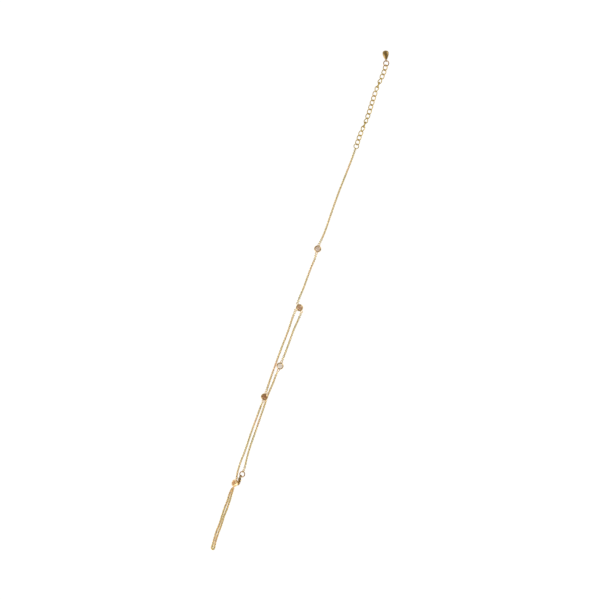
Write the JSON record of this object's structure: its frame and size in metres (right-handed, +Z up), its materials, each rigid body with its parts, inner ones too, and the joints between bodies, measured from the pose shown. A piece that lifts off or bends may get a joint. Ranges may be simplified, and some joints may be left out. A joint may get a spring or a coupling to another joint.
{
  "type": "toe anklet",
  "caption": "Fine gold-coloured ankle chain with round stone settings, lobster clasp and extender, joined to a toe chain ending in a doubled toe loop, laid out flat and open.",
  "frame": {"origin": "centre of the centre setting's flat back, on the surface that the anklet lies on", "axes": "+X along the laid-out chain from the toe loop towards the end drop, +Y across the chain, +Z up"},
  "size_m": [0.2909, 0.0067, 0.004],
  "materials": {
    "gold": "polished pale yellow gold plate",
    "crystal": "clear, faceted"
  },
  "bodies": {
    "anklet": {"bezel_1": "gold", "bezel_2": "gold", "bezel_3": "gold", "centre_bezel": "gold", "centre_stone": "crystal", "chain_mid": "gold", "chain_upper": "gold", "clasp_body": "gold", "clasp_chain_1": "gold", "clasp_chain_2": "gold", "clasp_ring": "gold", "drop_ring": "gold", "end_drop": "gold", "extender_end_ring": "gold", "extender_link_01": "gold", "extender_link_02": "gold", "extender_link_03": "gold", "extender_link_04": "gold", "extender_link_05": "gold", "extender_link_06": "gold", "extender_link_07": "gold", "extender_link_08": "gold", "extender_link_09": "gold", "extender_link_10": "gold", "extender_link_11": "gold", "extender_link_12": "gold", "extender_link_13": "gold", "extender_link_14": "gold", "extender_link_15": "gold", "extender_link_16": "gold", "extender_link_17": "gold", "extender_link_18": "gold", "stone_1": "crystal", "stone_2": "crystal", "stone_3": "crystal", "toe_bezel": "gold", "toe_chain_1": "gold", "toe_chain_2": "gold", "toe_loop": "gold", "toe_stone": "crystal"},
    "lever": {"clasp_lever": "gold"}
  },
  "joints": [
    {"name": "clasp_lever_hinge", "type": "hinge", "parent": "anklet", "child": "lever", "pos_m": [-0.10025, 0.0003, 0.00138], "axis": [0.0143, 0.819, 0.5736], "range_deg": [0, 20], "stiffness_Nm_per_rad": 0.003}
  ]
}
